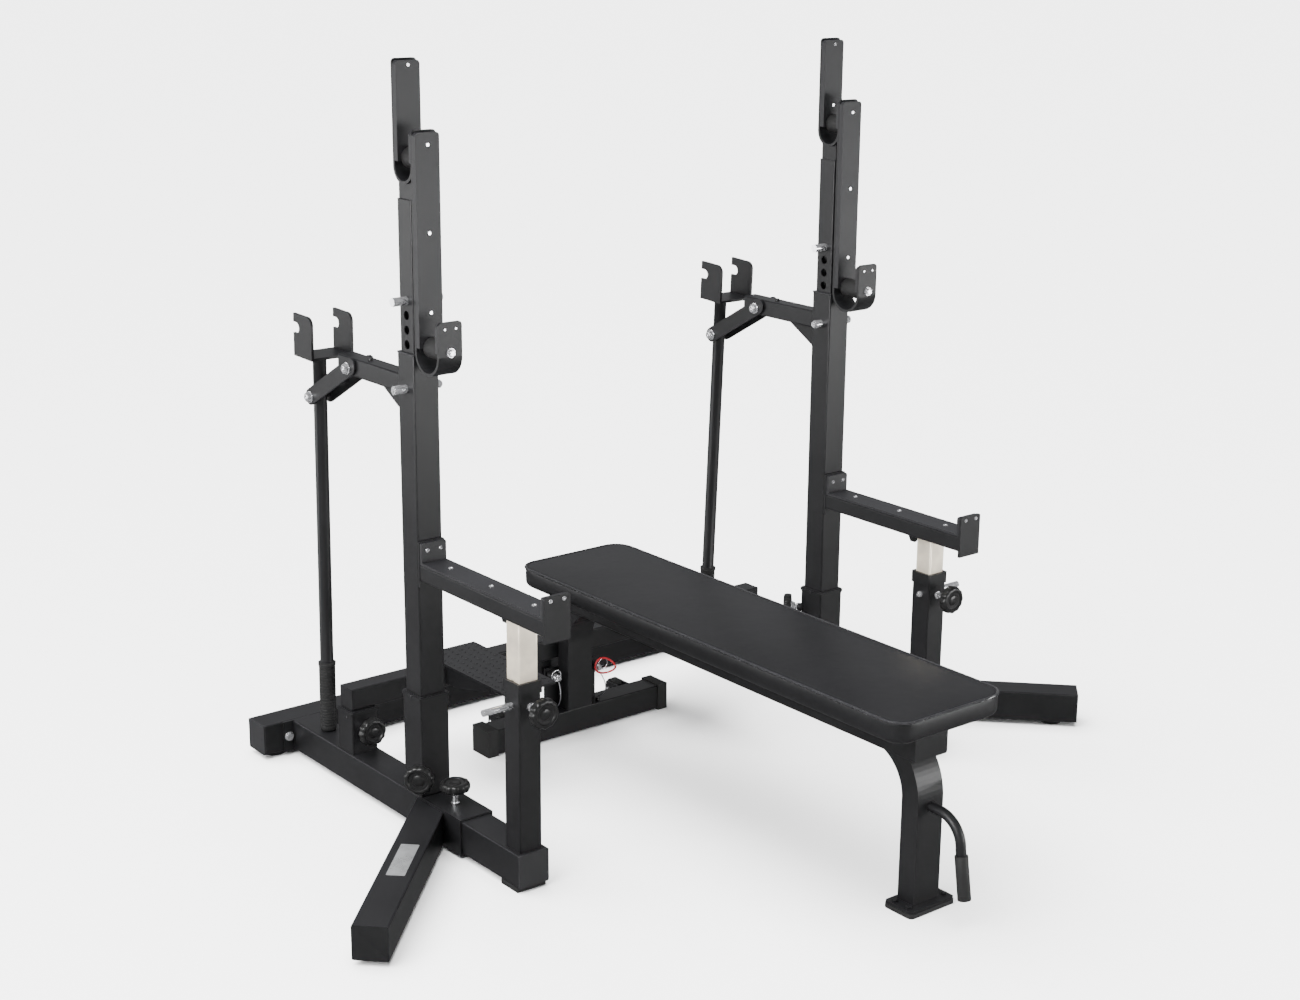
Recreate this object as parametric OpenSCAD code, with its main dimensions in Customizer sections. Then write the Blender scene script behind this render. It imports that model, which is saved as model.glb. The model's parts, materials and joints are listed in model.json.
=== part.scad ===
/* [Frame] */
// Distance from the middle of the rack to the middle of each upright
half_gauge = 572; // [550:1:600]
// Outside size of the square floor tubes
main_tube = 72; // [70:1:75]
// Wall of the square tubes
tube_wall = 3; // [2.5:0.5:4]
// Height of the rubber feet under the floor tubes
foot_h = 12; // [10:1:14]
// Half length of the rear crossmember without its end caps
crossmember_half = 678; // [660:1:690]
// Front face of the rear crossmember, measured from the upright axis
crossmember_x = -525; // [-540:1:-515]
// Front end of the side tubes
side_tube_front = 388; // [385:1:395]

/* [Uprights] */
// Outside size of the fixed upright tube
upright_size = 60; // [60:0.5:60]
// Top of the fixed upright tube above the floor
upright_top = 1040; // [1030:1:1050]
// Outside size of the sockets that hold the uprights
socket_size = 70; // [69:1:72]
// Top of the upright sockets above the floor
socket_top = 311; // [300:1:320]
// Outside size of the telescoping height tube
inner_size = 50; // [50:0.5:50]
// Height of the locking pins above the floor
lock_z = 969; // [965:1:975]
// Distance between two height holes
height_pitch = 30; // [30:1:30]

/* [Hooks] */
// Width of the bent hook straps
hook_w = 56; // [54:1:58]
// Thickness of the bent steel straps
strap_t = 6; // [5:0.5:6]
// Top of the squat hook's rear plate
squat_top = 1624; // [1615:1:1630]
// Top of the bench hook's tall plate
tall_top = 1490; // [1480:1:1500]
// Diameter of the bar rollers
roller_d = 42; // [38:1:44]

/* [Safety arms] */
// Height of the left arm's bearing surface in its stored setting
arm_top = 609; // [600:1:615]
// Distance between two holes of a safety stem
safety_pitch = 22.5; // [22.5:0.5:22.5]
// How many holes lower the right arm is set
right_arm_steps = 2; // [0:1:2]
// Middle of the front posts, measured from the upright axis
post_x = 357; // [355:1:360]

/* [Bench] */
// Rear end of the pad
pad_x0 = -265; // [-275:1:-255]
// Foot end of the pad
pad_x1 = 985; // [975:1:995]
// Width of the pad
pad_w = 305; // [290:1:320]
// Height of the pad's top surface
pad_top = 445; // [440:1:450]
// Thickness of the pad
pad_t = 50; // [48:1:55]

/* [Hidden] */

$fn = 48;
eps = 0.01;

// Colours
black = [0.07, 0.07, 0.08];
liner_black = [0.13, 0.13, 0.14];
rubber_black = [0.10, 0.10, 0.10];
knob_black = [0.05, 0.05, 0.05];
chrome = [0.80, 0.80, 0.82];
zinc = [0.78, 0.74, 0.66];
vinyl = [0.04, 0.04, 0.05];
steel_cable = [0.60, 0.60, 0.62];

// Floor tubes
tube_half = main_tube / 2;
tube_r = 3.5;
tube_mid = foot_h + tube_half;
tube_top = foot_h + main_tube;
flange_t = 6;
flange_reach = 26;
cap_t = 5;
side_tube_rear = crossmember_x + flange_t;

// Sockets and platform
socket_half = socket_size / 2;
upright_half = upright_size / 2;
slide_gap = 0.3;
platform_x = -288;
platform_socket = 64;
platform_socket_top = 184;
leg_size = 50;
beam_top = 235;
plate_t = 6;
plate_x0 = -352;
plate_x1 = -22;
plate_y0 = 214;
plate_y1 = 352;

// Knobs
knob_r = 32;
knob_head = 18;
knob_neck = 22;
knob_long_neck = 30;
knob_screw_r = 5;
screw_gap = 0.05;
upright_knob_z = 140;
inner_knob_z = 257;
corner_boss = 58;
corner_tip = 41.6;
boss_root = corner_tip + 3;
boss_r = 10;
corner_neck = 14;
platform_knob_z = 142;
outrigger_knob_x = 107;
post_knob_z = 394;
post_neck = 36;
post_screw = 1.7;

// Outriggers
clamp_x0 = 42;
clamp_x1 = 186;
clamp_wall = 4.4;
clamp_half = tube_half + slide_gap + clamp_wall;
outrigger_angle = 44.5;
outrigger_root_x = 71;
outrigger_len = 550;

// Height tube, with holes that run along Y
inner_half = inner_size / 2;
inner_bottom = 450;
inner_top = 1352;
pin_r = 9;
hole_gap = 0.1;
jack_pin_holes = 6;
jack_pin_z = lock_z + jack_pin_holes * height_pitch;

// Hooks
half_w = hook_w / 2;
tall_x = 34;
squat_r = 35.5;
squat_x = tall_x + strap_t - squat_r;
squat_z = 1417.5;
squat_roller_z = 1432;
rear_x = squat_x - squat_r;
bench_r = 43.5;
bench_x = tall_x + bench_r;
bench_z = 1051.5;
bench_roller_z = 1060;
bench_lip_x = tall_x + 2 * bench_r - strap_t;
bench_lip_top = 1122;
liner_t = 12;
lip_liner_t = 6;
axle_r = 6;
axle_gap = 0.05;
corner_r = 8;

// Jack lever: the arm's pivot and the link's lower pivot
arm_pivot = [-240, 968];
rod_pivot = [-402, 876];
left_lean = 1.3;
right_lean = 2.6;
arm_rear = -284;
arm_half = 20;
arm_z0 = 952;
arm_z1 = 992;
link_y0 = 21;
link_y1 = 26;
link_r = 18;
rod_r = 15;
grip_r = 17.5;
rod_bottom = tube_top + 2;
grip_top = 246;
fork_x0 = -420;
fork_x1 = -344;
fork_z0 = 969;
fork_z1 = 1063;
fork_y0 = 46;
fork_y1 = 52;
notch_x = -408;
notch_z = 1032;
notch_r = 12;

// Safety arms
arm_w = 60;
arm_h = 40;
arm_liner_t = 5;
arm_plate_x = 31;
arm_end_x = 476;
stem_size = 45;
stem_bottom = 193;
post_size = 53;
post_inner = 46;
post_top = 445;
post_pin_r = 7;
post_pin_z = 394;

// Bench
leg_w = 70;
front_leg_t = 45;
rear_leg_t = 40;
bend_inner = 95;
bend_z = 230;
front_bend_x = 790;
rear_bend_x = -125;
spine_w = 90;
spine_z0 = 320;
spine_z1 = 370;
spine_x0 = -245;
spine_x1 = 925;
bracket_w = 170;
front_foot_x = 912;
front_rubber = 9;
front_plate = 6;
foot_x = -252;
foot_size = 60;
foot_half = 262;
foot_cap = 66;
foot_cap_l = 28;
wheel_r = 26;
wheel_w = 22;
wheel_y = 176;
wheel_x = -314;
wheel_z = 44;
dock_plate_x = -266;
dock_tab_x = -280;
dock_pin_y = 60;
dock_pin_z = 150;
dock_pin_r = 5;
handle_r = 10.5;
handle_z = 219;
handle_bend = 60;
handle_x = 955;
handle_tilt = 9;

// Lanyards: each hangs from its pin's ring to an eye on the rear foot tube
lanyard_d = 2.5;
right_lanyard = [
    [-224, 60, 141], [-216, 62, 132], [-210, 65, 120], [-208, 67, 107], [-211, 68, 95],
    [-217, 67, 86], [-225, 65, 79], [-234, 63, 73]
];
left_lanyard = [for (p = right_lanyard) [p.x, -p.y, p.z]];

// Places a left-hand piece at its upright, or its mirror image on the right
module on_side(right) {
    mirror([0, right ? 1 : 0, 0]) translate([0, -half_gauge, 0]) children();
}

// A block from its lowest corner to its highest
module block(low, high) {
    translate(low) cube(high - low);
}

// Rectangular tube section with rounded corners
module tube_section(w, h, wall) {
    difference() {
        rounded_rect(w, h, tube_r);
        rounded_rect(w - 2 * wall, h - 2 * wall, max(tube_r - wall, 0.6));
    }
}

// Tubes along each axis, w wide and h high
module tube_z(size, bore, z0, z1, x = 0) {
    translate([x, 0, z0]) linear_extrude(z1 - z0) tube_section(size, size, (size - bore) / 2);
}

module tube_x(w, h, x0, x1, z, wall = tube_wall) {
    translate([x0, 0, z]) rotate([90, 0, 90]) linear_extrude(x1 - x0) tube_section(w, h, wall);
}

module tube_y(w, h, y0, y1, x, z, wall = tube_wall) {
    translate([x, y1, z]) rotate([90, 0, 0]) linear_extrude(y1 - y0) tube_section(w, h, wall);
}

// Cylinder along X or Y between two stations
module rod_x(r, x0, x1, y, z) {
    translate([x0, y, z]) rotate([0, 90, 0]) cylinder(r = r, h = x1 - x0);
}

module rod_y(r, y0, y1, x, z) {
    translate([x, y1, z]) rotate([90, 0, 0]) cylinder(r = r, h = y1 - y0);
}

// Rounded rectangle, centred
module rounded_rect(l, w, r) {
    square([l - 2 * r, w], center = true);
    square([l, w - 2 * r], center = true);
    for (x = [-1, 1], y = [-1, 1]) translate([x * (l / 2 - r), y * (w / 2 - r)]) circle(r = r);
}

// Plate in the YZ plane whose top corners are rounded
module plate_yz(x0, x1, half, z0, z1, r = corner_r) {
    difference() {
        block([x0, -half, z0], [x1, half, z1]);
        for (s = [-1, 1]) difference() {
            translate([x0 - 1, s > 0 ? half - r : -half - 1, z1 - r]) cube([x1 - x0 + 2, r + 1, r + 1]);
            rod_x(r, x0 - 2, x1 + 2, s * (half - r), z1 - r);
        }
    }
}

// Star knob that points along +Z, with its screw below z = 0
module star_knob(screw, neck = knob_neck) {
    lobes = 12;
    lobe_r = 7;
    rotate_extrude() polygon([
        [0, -screw], [knob_screw_r, -screw], [knob_screw_r, 1], [9, 1], [9, neck - 8], [15, neck - 1],
        [15, neck + 2], [0, neck + 2]
    ]);
    translate([0, 0, neck]) linear_extrude(knob_head) {
        circle(r = knob_r - 2.5);
        for (i = [0 : lobes - 1]) rotate(i * 360 / lobes)
            translate([knob_r - lobe_r, 0]) circle(r = lobe_r);
    }
}

// Frame ---------------------------------------------------------------

module rear_crossmember() color(black) {
    difference() {
        tube_y(main_tube, main_tube, -crossmember_half, crossmember_half,
               crossmember_x - tube_half, tube_mid);
        for (s = [-1, 1], o = [-1, 1])
            rod_x(5.2, crossmember_x - main_tube - 1, crossmember_x + 1,
                  s * half_gauge + o * (tube_half + flange_reach / 2), tube_mid);
    }
}

// Side tubes, each with the flange that bolts to the crossmember
module side_tubes() color(black) for (right = [false, true]) on_side(right) {
    tube_x(main_tube, main_tube, side_tube_rear, side_tube_front, tube_mid);
    difference() {
        block([crossmember_x, -tube_half - flange_reach, foot_h - 2],
              [side_tube_rear, tube_half + flange_reach, tube_top]);
        for (o = [-1, 1])
            rod_x(5.2, crossmember_x - 1, side_tube_rear + 1,
                  o * (tube_half + flange_reach / 2), tube_mid);
    }
}

// Turns +Z to a corner of an upright's socket: its outer front one, or its inner rear one
module on_corner(inner) {
    translate([0, 0, inner ? inner_knob_z : upright_knob_z]) rotate([0, 90, inner ? 135 : -45])
        children();
}

// Upright and platform sockets, welded on the side tubes
module tube_sockets() color(black) for (right = [false, true]) on_side(right) {
    difference() {
        union() {
            tube_z(socket_size, upright_size + 2 * slide_gap, tube_top, socket_top);
            tube_z(socket_size + 4, upright_size + 2 * slide_gap, socket_top - 9, socket_top - 2);
            for (inner = [false, true]) on_corner(inner) translate([0, 0, boss_root])
                cylinder(r = boss_r, h = corner_boss - boss_root);
        }
        for (inner = [false, true]) on_corner(inner)
            cylinder(r = knob_screw_r + screw_gap, h = corner_boss + 1);
    }
    difference() {
        union() {
            tube_z(platform_socket, leg_size + 2 * slide_gap, tube_top, platform_socket_top, platform_x);
            tube_z(platform_socket + 4, leg_size + 2 * slide_gap,
                   platform_socket_top - 8, platform_socket_top - 2, platform_x);
        }
        rod_x(knob_screw_r + screw_gap, platform_x + leg_size / 2, platform_x + platform_socket,
              0, platform_knob_z);
    }
}

// Front posts that carry the safety arms
module front_posts() color(black) for (right = [false, true]) on_side(right) difference() {
    union() {
        tube_z(post_size, post_inner, tube_top, post_top, post_x);
        tube_z(post_size + 5, post_inner, post_top - 26, post_top, post_x);
    }
    rod_y(post_pin_r + hole_gap, -post_size, post_size, post_x, post_pin_z);
    rod_x(knob_screw_r + screw_gap, post_x + 5, post_x + post_size, 0, post_knob_z);
}

module upright(right) color(black) on_side(right) difference() {
    tube_z(upright_size, upright_size - 2 * tube_wall, tube_top, upright_top);
    rod_y(pin_r + hole_gap, -upright_size, upright_size, 0, lock_z);
}

// Arms that carry the jack levers, each with a gusset below
module jack_arms() color(black) for (right = [false, true]) on_side(right) {
    difference() {
        union() {
            tube_x(2 * arm_half, 2 * arm_half, arm_rear, -upright_half, (arm_z0 + arm_z1) / 2);
            translate([arm_rear - 2, 0, (arm_z0 + arm_z1) / 2]) rotate([90, 0, 90])
                linear_extrude(2) rounded_rect(2 * arm_half, 2 * arm_half, tube_r);
        }
        rod_y(axle_r + axle_gap, -arm_half - 1, arm_half + 1, arm_pivot.x, arm_pivot.y);
    }
    translate([0, 3, 0]) rotate([90, 0, 0]) linear_extrude(6)
        polygon([[-142, arm_z0], [-upright_half, arm_z0], [-upright_half, 895], [-40, 895]]);
    translate([-186, 0, arm_z1]) cylinder(r = 5, h = 5);
}

// Platform beam on its two legs, with the two tabs that the bench's dock pins enter
module platform_beam() color(black) {
    beam_end = half_gauge + leg_size / 2;
    tube_y(leg_size, leg_size, -beam_end, beam_end, platform_x, beam_top - leg_size / 2);
    for (s = [-1, 1]) translate([platform_x, s * (beam_end + 1), beam_top - leg_size / 2])
        rotate([90, 0, 0]) linear_extrude(2, center = true) rounded_rect(leg_size, leg_size, tube_r);
    for (right = [false, true]) on_side(right)
        tube_z(leg_size, leg_size - 2 * tube_wall, tube_top, beam_top - leg_size, platform_x);
    for (s = [-1, 1]) difference() {
        translate([0, s * dock_pin_y, 0]) block([dock_tab_x, -14, dock_pin_z - 14],
                                                [dock_tab_x + 6, 14, beam_top - leg_size]);
        rod_x(dock_pin_r + 0.1, dock_tab_x - 1, dock_tab_x + 7, s * dock_pin_y, dock_pin_z);
    }
}

// Tread plates that a spotter stands on, with two ribs under each
module spotter_footplates() color(black) for (right = [false, true]) mirror([0, right ? 1 : 0, 0]) {
    block([plate_x0, -plate_y1, beam_top], [plate_x1, -plate_y0, beam_top + plate_t]);
    for (y = [-plate_y1 + 3, -plate_y0 - 9]) translate([0, y + plate_t, 0]) rotate([90, 0, 0])
        linear_extrude(plate_t) polygon([
            [platform_x + leg_size / 2, beam_top], [plate_x1 - 60, beam_top],
            [plate_x1 - 60, beam_top - 8],
            [platform_x + leg_size / 2 + 34, beam_top - leg_size + 8],
            [platform_x + leg_size / 2, beam_top - leg_size + 8]
        ]);
}

// Tube end caps and the bushes in the uprights' mouths
module plastic_inserts() color(liner_black) {
    plug = main_tube - 2 * tube_wall - 0.4;
    for (s = [-1, 1])
        translate([crossmember_x - tube_half, s * (crossmember_half + cap_t / 2), tube_mid]) {
            rotate([90, 0, 0]) linear_extrude(cap_t, center = true)
                rounded_rect(main_tube, main_tube, 4);
            translate([0, -s * (cap_t / 2 + 6), 0])
                rotate([90, 0, 0]) linear_extrude(12, center = true) rounded_rect(plug, plug, 2.5);
        }
    for (right = [false, true]) on_side(right) {
        translate([side_tube_front + cap_t / 2, 0, tube_mid]) rotate([90, 0, 90])
            linear_extrude(cap_t, center = true) rounded_rect(main_tube, main_tube, 4);
        translate([side_tube_front - 12, 0, tube_mid]) rotate([90, 0, 90])
            linear_extrude(12 + eps) rounded_rect(plug, plug, 2.5);
        bush_bore = inner_size + 2 * slide_gap;
        tube_z(upright_size - 2 * tube_wall - 0.4, bush_bore, upright_top - 40, upright_top);
        tube_z(upright_size + 2, bush_bore, upright_top, upright_top + 3);
    }
}

module rubber_feet() color(rubber_black) {
    for (right = [false, true]) on_side(right)
        block([side_tube_front - 62, -tube_half + 1, 0], [side_tube_front - 4, tube_half - 1, foot_h]);
    for (s = [-1, 1])
        translate([crossmember_x - tube_half, s * (crossmember_half - 40), 0])
            cylinder(r = 26, h = foot_h);
}

module frame_bolts() color(chrome) for (right = [false, true]) on_side(right)
    for (o = [-1, 1]) {
        y = o * (tube_half + flange_reach / 2);
        rod_x(5, crossmember_x - main_tube, side_tube_rear, y, tube_mid);
        translate([side_tube_rear, y, tube_mid]) rotate([0, 90, 0]) cylinder(r = 11, h = 2);
        translate([side_tube_rear + 2, y, tube_mid]) rotate([0, 90, 0])
            cylinder(r = 9.5, h = 6, $fn = 6);
        translate([crossmember_x - main_tube - 7, y, tube_mid]) rotate([0, 90, 0])
            cylinder(r = 9.5, h = 7, $fn = 6);
    }

// Outriggers ----------------------------------------------------------

module outrigger(right) color(black) on_side(right) {
    bore = tube_half + slide_gap;
    difference() {
        block([clamp_x0, -clamp_half, tube_mid - clamp_half],
              [clamp_x1, clamp_half, tube_mid + clamp_half]);
        block([clamp_x0 - 1, -bore, tube_mid - bore], [clamp_x1 + 1, bore, tube_mid + bore]);
        translate([outrigger_knob_x, 0, tube_top]) cylinder(r = knob_screw_r + screw_gap, h = 20);
    }
    difference() {
        translate([outrigger_root_x, -clamp_half, 0]) rotate(-outrigger_angle) union() {
            tube_x(main_tube, main_tube, -120, outrigger_len - tube_wall, tube_mid);
            translate([outrigger_len - tube_wall, 0, tube_mid]) rotate([90, 0, 90])
                linear_extrude(tube_wall) rounded_rect(main_tube, main_tube, tube_r);
            translate([outrigger_len - 60, 0, 0]) cylinder(r = 24, h = foot_h + eps);
        }
        block([-200, -clamp_half, -1], [300, 200, 200]);
    }
}

// Height tubes and hooks ----------------------------------------------

module height_tube(right) color(black) on_side(right) difference() {
    tube_z(inner_size, inner_size - 2 * tube_wall, inner_bottom, inner_top);
    for (k = [-15 : jack_pin_holes])
        rod_y(pin_r + hole_gap, -inner_size, inner_size, 0, lock_z + k * height_pitch);
}

// U bend of a strap: its lower half ring, drawn in the XZ plane
module strap_bend(x, z, r) {
    translate([x, z]) difference() {
        circle(r = r, $fn = 96);
        circle(r = r - strap_t, $fn = 96);
        translate([-2 * r, 0]) square([4 * r, 2 * r]);
    }
}

// Bent straps of both hooks, their spacer and the block on the tube's end
module hook_strap(right) color(black) on_side(right) difference() {
    union() {
        translate([0, half_w, 0]) rotate([90, 0, 0]) linear_extrude(hook_w) {
            strap_bend(squat_x, squat_z, squat_r);
            strap_bend(bench_x, bench_z, bench_r);
        }
        plate_yz(rear_x, rear_x + strap_t, half_w, squat_z, squat_top);
        plate_yz(tall_x, tall_x + strap_t, half_w, bench_z, tall_top);
        plate_yz(bench_lip_x, bench_lip_x + strap_t, half_w, bench_z, bench_lip_top);
        block([inner_half, -20, 1230], [tall_x, 20, 1320]);
        difference() {
            block([-inner_half + 4, -22, inner_top], [inner_half, 22, squat_z]);
            rod_y(squat_r - strap_t / 2, -40, 40, squat_x, squat_z);
        }
    }
    rod_x(axle_r + 0.2, rear_x - 1, tall_x + strap_t + 1, 0, squat_roller_z);
    rod_x(axle_r + 0.2, tall_x - 1, bench_lip_x + strap_t + 1, 0, bench_roller_z);
}

// Plastic liners that the bar bears on
module hook_liners(right) color(liner_black) on_side(right) difference() {
    union() {
        plate_yz(rear_x + strap_t, rear_x + strap_t + liner_t, half_w, squat_z + 8, squat_top - 4);
        plate_yz(tall_x - lip_liner_t, tall_x, half_w, squat_z + 8, tall_top - 4);
        plate_yz(tall_x + strap_t, tall_x + strap_t + liner_t, half_w, bench_z + 8, tall_top - 4);
        plate_yz(bench_lip_x - lip_liner_t, bench_lip_x, half_w, bench_z + 8, bench_lip_top - 4);
    }
    rod_x(axle_r + 0.2, rear_x, tall_x + strap_t, 0, squat_roller_z);
    rod_x(axle_r + 0.2, tall_x, bench_lip_x + strap_t, 0, bench_roller_z);
}

// Jack pin, roller axles and the screws of the liners
module hook_hardware(right) color(chrome) on_side(right) {
    rod_y(pin_r, -58, 58, 0, jack_pin_z);
    rod_x(axle_r, rear_x, tall_x + strap_t - 0.5, 0, squat_roller_z);
    translate([rear_x - 7, 0, squat_roller_z]) rotate([0, 90, 0]) cylinder(r = 10.5, h = 7, $fn = 6);
    rod_x(axle_r, tall_x + 0.5, bench_lip_x + strap_t + 6, 0, bench_roller_z);
    rod_x(9, bench_lip_x + strap_t, bench_lip_x + strap_t + 4, 0, bench_roller_z);
    translate([bench_lip_x + strap_t + 4, 0, bench_roller_z]) rotate([0, 90, 0])
        cylinder(r = 7, h = 4, $fn = 6);
    for (z = [1462, 1289, 1130])
        rod_x(3.5, tall_x + strap_t + liner_t, tall_x + strap_t + liner_t + 2, 0, z);
    for (z = [1611, 1474])
        rod_x(3.5, rear_x + strap_t + liner_t, rear_x + strap_t + liner_t + 2, 0, z);
    for (y = [-13, 13])
        rod_x(2.2, bench_lip_x + strap_t, bench_lip_x + strap_t + 1.5, y, 1108);
}

module roller(right, x0, x1, z) color(rubber_black) on_side(right) difference() {
    rod_x(roller_d / 2, x0, x1, 0, z);
    rod_x(axle_r + axle_gap, x0 - 1, x1 + 1, 0, z);
}

module squat_roller(right)
    roller(right, rear_x + strap_t + liner_t + 1, tall_x - lip_liner_t - 1, squat_roller_z);

module bench_roller(right)
    roller(right, tall_x + strap_t + liner_t + 1.5, bench_lip_x - lip_liner_t - 1.5, bench_roller_z);

module locking_pin(right) color(chrome) on_side(right) {
    rod_y(pin_r, -60, 50, 0, lock_z);
    translate([0, 50, lock_z]) rotate([-90, 0, 0]) cylinder(r1 = pin_r, r2 = 6, h = 4);
}

// Jack levers ---------------------------------------------------------

// Link of two side plates with its spacer and both pivot bolts
module jack_link(right) color(black) on_side(right) {
    reach = norm(arm_pivot - rod_pivot);
    slope = atan2(arm_pivot.y - rod_pivot.y, arm_pivot.x - rod_pivot.x);
    for (y = [-link_y1, link_y0])
        translate([rod_pivot.x, y, rod_pivot.y]) rotate([0, -slope, 0])
            translate([0, link_y1 - link_y0, 0]) rotate([90, 0, 0]) linear_extrude(link_y1 - link_y0) {
                circle(r = link_r);
                translate([0, -link_r]) square([reach + 14, 2 * link_r]);
                translate([reach + 14, 0]) circle(r = link_r);
            }
    mid = (arm_pivot + rod_pivot) / 2;
    rod_y(6, -link_y0, link_y0, mid.x, mid.y);
    for (p = [arm_pivot, rod_pivot]) {
        rod_y(axle_r, -link_y1 - 8, link_y1 + 8, p.x, p.y);
        rod_y(10, -link_y1 - 7, -link_y1, p.x, p.y);
        rod_y(10, link_y1, link_y1 + 6, p.x, p.y);
    }
}

// Long lever: rod, hand grip and the fork that lifts the jack pin; it hangs slightly out of plumb
module jack_lever(right) color(black) on_side(right)
    translate([rod_pivot.x, 0, rod_pivot.y]) rotate([0, right ? right_lean : left_lean, 0])
    translate([-rod_pivot.x, 0, -rod_pivot.y]) {
    difference() {
        union() {
            translate([rod_pivot.x, 0, rod_bottom]) cylinder(r = rod_r, h = fork_z0 - rod_bottom);
            translate([rod_pivot.x, 0, rod_bottom]) cylinder(r = grip_r, h = grip_top - rod_bottom);
            block([fork_x0, -fork_y1, fork_z0], [fork_x1, fork_y1, fork_z0 + 6]);
        }
        translate([rod_pivot.x, 0, rod_bottom + 8]) cylinder(r = rod_r - tube_wall, h = 700);
        rod_y(axle_r + axle_gap, -rod_r - 1, rod_r + 1, rod_pivot.x, rod_pivot.y);
    }
    for (y = [-fork_y1, fork_y0]) difference() {
        block([fork_x0, y, fork_z0 + 6], [fork_x1, y + fork_y1 - fork_y0, fork_z1]);
        rod_y(notch_r, y - 1, y + 8, notch_x, notch_z);
        block([fork_x0 - 1, y - 1, notch_z - notch_r], [notch_x, y + 8, notch_z + notch_r]);
        difference() {
            block([fork_x1 - 18, y - 1, fork_z1 - 18], [fork_x1 + 1, y + 8, fork_z1 + 1]);
            rod_y(18, y - 2, y + 9, fork_x1 - 18, fork_z1 - 18);
        }
    }
}

// Safety arms ---------------------------------------------------------

function arm_drop(right) = right ? right_arm_steps * safety_pitch : 0;

module safety_place(right) {
    translate([0, 0, -arm_drop(right)]) on_side(right) children();
}

module safety_arm(right) color(black) safety_place(right) {
    steel_top = arm_top - arm_liner_t;
    bottom = arm_top - arm_h;
    tube_x(arm_w, steel_top - bottom, arm_plate_x + 6, arm_end_x - 6, (steel_top + bottom) / 2);
    plate_yz(arm_plate_x, arm_plate_x + 6, arm_w / 2 + 1, bottom - 14, arm_top + 44, 5);
    plate_yz(arm_end_x - 6, arm_end_x, arm_w / 2 + 1, bottom - 13, arm_top + 41, 5);
    translate([0, 3, 0]) rotate([90, 0, 0]) linear_extrude(6)
        polygon([[post_x - 74, bottom], [post_x - 38, bottom], [post_x - 48, bottom - 22],
                 [post_x - 62, bottom - 22]]);
}

module safety_stem(right) color(zinc) safety_place(right) {
    bottom = arm_top - arm_h;
    difference() {
        tube_z(stem_size, stem_size - 2 * tube_wall, stem_bottom, bottom, post_x);
        for (k = [-4 : 2]) rod_y(post_pin_r + hole_gap, -post_size, post_size, post_x,
                                 post_pin_z + k * safety_pitch);
    }
}

// Plastic strips that the bar would land on
module safety_liners(right) color(liner_black) safety_place(right) {
    block([arm_plate_x + 14, -arm_w / 2, arm_top - arm_liner_t], [arm_end_x - 14, arm_w / 2, arm_top]);
    plate_yz(arm_plate_x + 6, arm_plate_x + 14, arm_w / 2, arm_top - arm_liner_t, arm_top + 42, 5);
    plate_yz(arm_end_x - 14, arm_end_x - 6, arm_w / 2, arm_top - arm_liner_t, arm_top + 39, 5);
}

module post_pin(right) color(chrome) on_side(right) {
    rod_y(post_pin_r, -95, 30, post_x, post_pin_z);
    translate([post_x, 30, post_pin_z]) rotate([-90, 0, 0]) cylinder(r1 = post_pin_r, r2 = 4.5, h = 4);
}

// Knobs ---------------------------------------------------------------

module corner_knob(right, inner) color(knob_black) on_side(right)
    on_corner(inner) translate([0, 0, corner_boss]) star_knob(corner_boss - corner_tip, corner_neck);

module upright_knob(right) corner_knob(right, false);

module inner_knob(right) corner_knob(right, true);

module platform_knob(right) color(knob_black) on_side(right)
    translate([platform_x + platform_socket / 2, 0, platform_knob_z]) rotate([0, 90, 0])
        star_knob((platform_socket - leg_size) / 2 - 2 * slide_gap);

module outrigger_knob(right) color(knob_black) on_side(right)
    translate([outrigger_knob_x, 0, tube_mid + clamp_half])
        star_knob(clamp_wall - slide_gap, knob_long_neck);

module post_knob(right) color(knob_black) on_side(right)
    translate([post_x + post_size / 2, 0, post_knob_z]) rotate([0, 90, 0])
        star_knob(post_screw, post_neck);

// Bench ---------------------------------------------------------------

module bench_pad() color(vinyl)
    translate([(pad_x0 + pad_x1) / 2, 0, pad_top - pad_t]) linear_extrude(pad_t)
        rounded_rect(pad_x1 - pad_x0, pad_w, 42);

// Spine tube with the cross brackets that carry the pad
module bench_spine() color(black) {
    spine_mid = (spine_z0 + spine_z1) / 2;
    tube_x(spine_w, spine_z1 - spine_z0, spine_x0, spine_x1 - tube_wall, spine_mid);
    translate([spine_x1 - tube_wall, 0, spine_mid]) rotate([90, 0, 90]) linear_extrude(tube_wall)
        rounded_rect(spine_w, spine_z1 - spine_z0, tube_r);
    for (x = [spine_x0 + 20, 120, 540, spine_x1 - 50])
        block([x, -bracket_w / 2, spine_z1], [x + 50, bracket_w / 2, pad_top - pad_t]);
}

// Bent leg: a straight run and a quarter bend, cut flush under the spine
module bent_leg(x, toward, t, z0) translate([x, 0, 0]) mirror([toward > 0 ? 0 : 1, 0, 0]) {
    outer = bend_inner + t;
    translate([0, leg_w / 2, bend_z]) rotate([90, 0, 0]) linear_extrude(leg_w) difference() {
        circle(r = outer, $fn = 96);
        circle(r = bend_inner, $fn = 96);
        translate([-200, -400]) square([400, 400]);
        translate([-400, -400]) square([400, 800]);
        translate([-400, spine_z0 - bend_z]) square([800, 400]);
    }
    difference() {
        block([bend_inner, -leg_w / 2, z0], [outer, leg_w / 2, bend_z]);
        block([bend_inner + tube_wall, -leg_w / 2 + tube_wall, z0 - 1],
              [outer - tube_wall, leg_w / 2 - tube_wall, bend_z - 10]);
    }
}

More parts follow.
